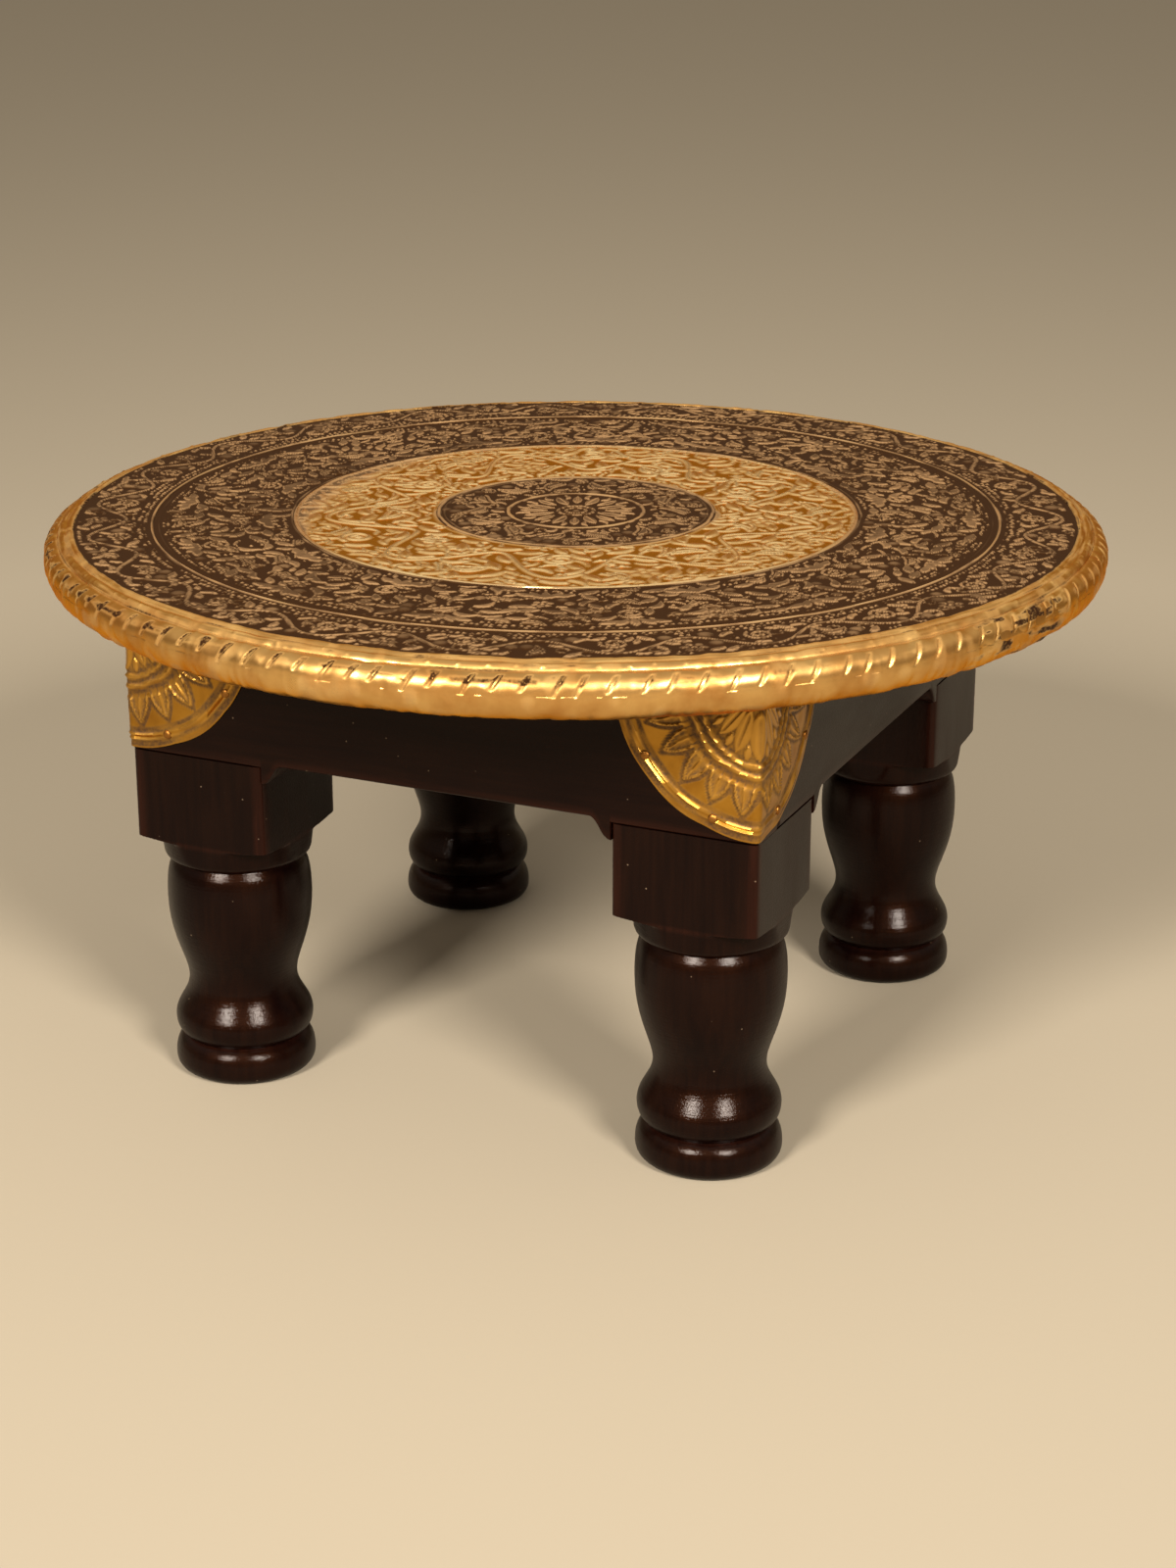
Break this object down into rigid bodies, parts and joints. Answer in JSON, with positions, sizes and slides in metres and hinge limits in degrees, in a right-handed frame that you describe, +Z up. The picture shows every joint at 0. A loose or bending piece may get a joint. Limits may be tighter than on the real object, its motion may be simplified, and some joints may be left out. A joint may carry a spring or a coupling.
{
  "type": "tray table",
  "caption": "Low round table with an embossed brass top, a notched brass rim, brass corner plates and a square frame on short turned wooden legs.",
  "frame": {"origin": "on the floor under the centre of the round top", "axes": "+Z up; -Y and +X are the two sides of the square frame seen from the front right corner; the frame is the same on all four sides"},
  "size_m": [0.381, 0.381, 0.1967],
  "materials": {
    "embossed_brass": "embossed sheet with dark patina, rubbed bright on the raised work",
    "rim_brass": "polished, hammered and notched",
    "plate_brass": "polished, embossed",
    "nail_brass": "polished",
    "lacquered_wood": "dark reddish-brown gloss lacquer",
    "raw_wood": "unfinished",
    "steel": "plain"
  },
  "bodies": {
    "root": {"apron_back": "lacquered_wood", "apron_front": "lacquered_wood", "apron_left": "lacquered_wood", "apron_right": "lacquered_wood", "corner_plate_back_left": "plate_brass", "corner_plate_back_right": "plate_brass", "corner_plate_front_left": "plate_brass", "corner_plate_front_right": "plate_brass", "frame_nail_back_left_1": "steel", "frame_nail_back_left_2": "steel", "frame_nail_back_right_1": "steel", "frame_nail_back_right_2": "steel", "frame_nail_front_left_1": "steel", "frame_nail_front_left_2": "steel", "frame_nail_front_right_1": "steel", "frame_nail_front_right_2": "steel", "leg_back_left": "lacquered_wood", "leg_back_right": "lacquered_wood", "leg_front_left": "lacquered_wood", "leg_front_right": "lacquered_wood", "leg_screw_back_left": "steel", "leg_screw_back_right": "steel", "leg_screw_front_left": "steel", "leg_screw_front_right": "steel", "plate_nail_back_left_x1": "nail_brass", "plate_nail_back_left_x2": "nail_brass", "plate_nail_back_left_y1": "nail_brass", "plate_nail_back_left_y2": "nail_brass", "plate_nail_back_right_x1": "nail_brass", "plate_nail_back_right_x2": "nail_brass", "plate_nail_back_right_y1": "nail_brass", "plate_nail_back_right_y2": "nail_brass", "plate_nail_front_left_x1": "nail_brass", "plate_nail_front_left_x2": "nail_brass", "plate_nail_front_left_y1": "nail_brass", "plate_nail_front_left_y2": "nail_brass", "plate_nail_front_right_x1": "nail_brass", "plate_nail_front_right_x2": "nail_brass", "plate_nail_front_right_y1": "nail_brass", "plate_nail_front_right_y2": "nail_brass", "rim_strip": "rim_brass", "rim_tack_1": "nail_brass", "rim_tack_2": "nail_brass", "rim_tack_3": "nail_brass", "rim_tack_4": "nail_brass", "rim_tack_5": "nail_brass", "rim_tack_6": "nail_brass", "rim_tack_7": "nail_brass", "rim_tack_8": "nail_brass", "top_board": "raw_wood", "top_screw_back_left": "steel", "top_screw_back_right": "steel", "top_screw_front_left": "steel", "top_screw_front_right": "steel", "top_sheet": "embossed_brass"}
  },
  "joints": []
}
